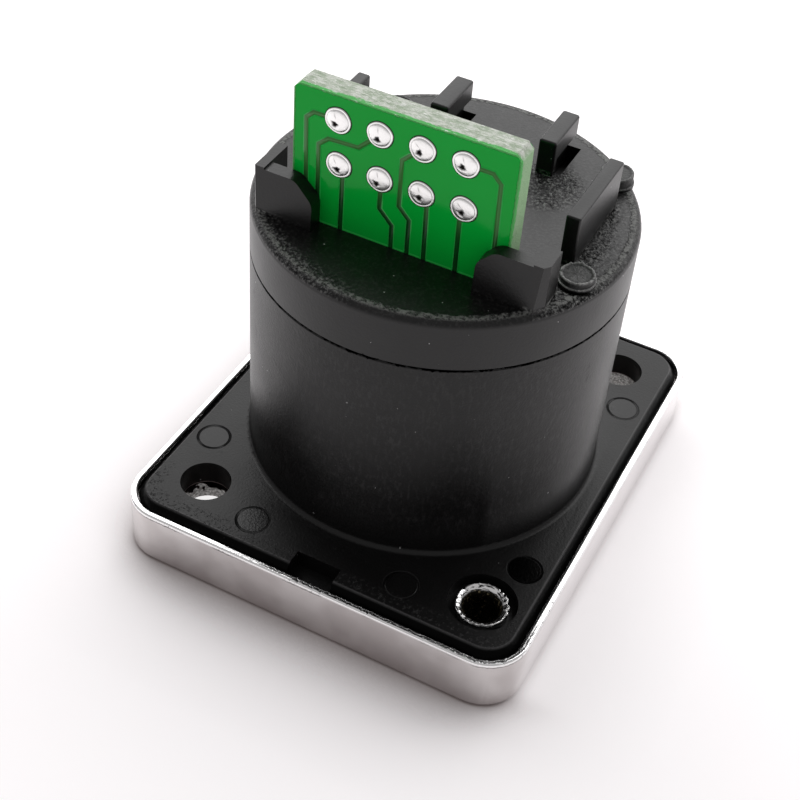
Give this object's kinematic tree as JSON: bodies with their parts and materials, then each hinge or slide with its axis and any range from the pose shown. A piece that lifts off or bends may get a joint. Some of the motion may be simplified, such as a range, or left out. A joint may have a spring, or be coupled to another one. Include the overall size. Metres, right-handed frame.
{
  "type": "ethernet panel socket",
  "caption": "Rear of a square-flange waterproof network panel socket with a black barrel and an upright solder board",
  "frame": {"origin": "middle of the flange on its front face", "axes": "+Z runs from the front face to the solder board, +Y along the flange's longer side, away from the solder face of the board, and +X across the shorter side"},
  "size_m": [0.0274, 0.0322, 0.0314],
  "materials": {
    "nickel": "satin bright nickel plating",
    "black_plastic": "finely grained charcoal moulding",
    "green_board": "green solder mask with darker tracks under it",
    "jack_plastic": "plain black moulding",
    "seal_rubber": "matte black rubber",
    "solder": "bright solder",
    "gold_wire": "thin gold plating"
  },
  "bodies": {
    "root": {"flange_frame": "nickel", "housing": "black_plastic", "rear_cap": "black_plastic", "circuit_board": "green_board", "jack_body": "jack_plastic", "contact_carrier": "jack_plastic", "plug_seal": "seal_rubber", "board_gasket": "seal_rubber", "rear_seal_ring": "seal_rubber", "hollow_rivet_1": "nickel", "hollow_rivet_2": "nickel", "solder_joint_1": "solder", "solder_joint_2": "solder", "solder_joint_3": "solder", "solder_joint_4": "solder", "solder_joint_5": "solder", "solder_joint_6": "solder", "solder_joint_7": "solder", "solder_joint_8": "solder", "contact_1": "gold_wire", "contact_2": "gold_wire", "contact_3": "gold_wire", "contact_4": "gold_wire", "contact_5": "gold_wire", "contact_6": "gold_wire", "contact_7": "gold_wire", "contact_8": "gold_wire", "tail_solder_1": "solder", "tail_solder_2": "solder", "tail_solder_3": "solder", "tail_solder_4": "solder", "tail_solder_5": "solder", "tail_solder_6": "solder", "tail_solder_7": "solder", "tail_solder_8": "solder"}
  },
  "joints": []
}
